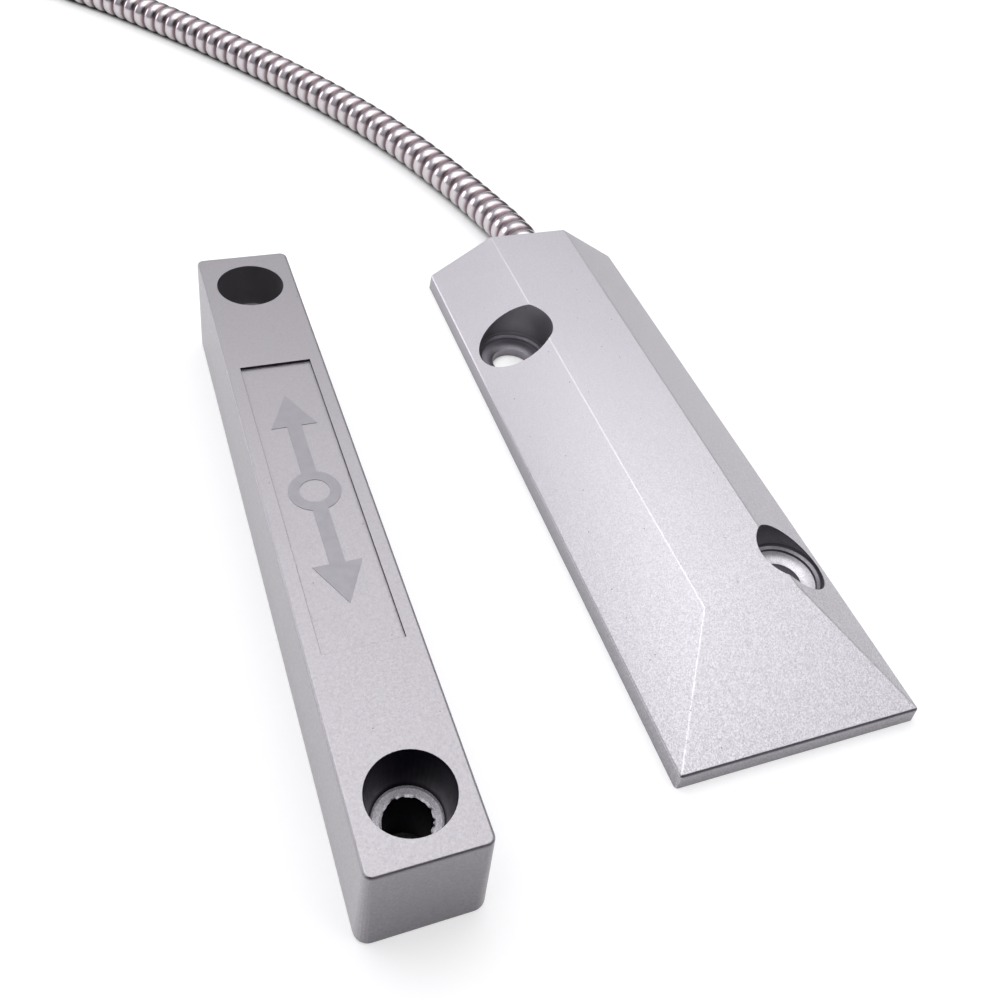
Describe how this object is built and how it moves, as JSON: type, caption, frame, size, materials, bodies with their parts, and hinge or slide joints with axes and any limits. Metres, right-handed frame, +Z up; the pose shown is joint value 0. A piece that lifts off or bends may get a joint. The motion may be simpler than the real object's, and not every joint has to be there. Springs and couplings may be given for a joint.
{
  "type": "door contact sensor",
  "caption": "Heavy-duty magnetic door contact: a low die-cast reed switch unit with an armoured steel conduit, and the die-cast magnet bar that works it.",
  "frame": {"origin": "middle of the switch unit's mounting face", "axes": "+Y runs along both units towards the conduit, +Z points up out of the mounting faces, and the magnet bar lies on the -X side"},
  "size_m": [0.1202, 0.3409, 0.0165],
  "materials": {
    "casting": "silver metallic paint with a fine sparkling grain",
    "resin": "poured black epoxy resin, slightly glossy",
    "laminate": "green solder mask on glass-fibre laminate",
    "capsule_glass": "clear, slightly green glass",
    "nickel_iron": "drawn nickel-iron wire and blade",
    "tin": "bright solder and tinned wire",
    "insulation_red": "smooth insulation",
    "insulation_black": "smooth insulation",
    "nylon": "moulded, matt",
    "conduit_steel": "bright stainless strip wound into flexible conduit",
    "magnet": "ground, dark grey magnet",
    "ink": "thin flat print"
  },
  "bodies": {
    "switch": {"switch_housing": "casting", "switch_potting": "resin", "reed_board": "laminate", "reed_capsule": "capsule_glass", "reed_blade_fixed": "nickel_iron", "reed_lead_root": "nickel_iron", "solder_reed_fixed": "tin", "solder_reed_moving": "tin", "solder_core_a": "tin", "solder_core_b": "tin", "core_a": "insulation_red", "core_b": "insulation_black", "conduit_bush_inner": "nylon", "conduit_run": "conduit_steel", "conduit_coil": "conduit_steel", "conduit_bush_outer": "nylon", "tail_a": "insulation_red", "tail_b": "insulation_black", "tip_a": "tin", "tip_b": "tin"},
    "reed_blade": {"reed_blade_moving": "nickel_iron"},
    "magnet": {"magnet_housing": "casting", "bar_magnet_near": "magnet", "bar_magnet_far": "magnet", "magnet_potting": "resin", "panel_mark": "ink"}
  },
  "joints": [
    {"name": "magnet_travel", "type": "slide", "parent": "switch", "child": "magnet", "axis": [-1, 0, 0], "range_m": [-0.02, 0.08]},
    {"name": "reed", "type": "hinge", "parent": "switch", "child": "reed_blade", "pos_m": [-0.009, -0.0136, 0.00407], "axis": [-1, 0, 0], "range_deg": [-0.31, 1.21]}
  ],
  "couplings": [
    {"joint": "reed", "follows": "magnet_travel", "rad_per_m": 0.26}
  ]
}
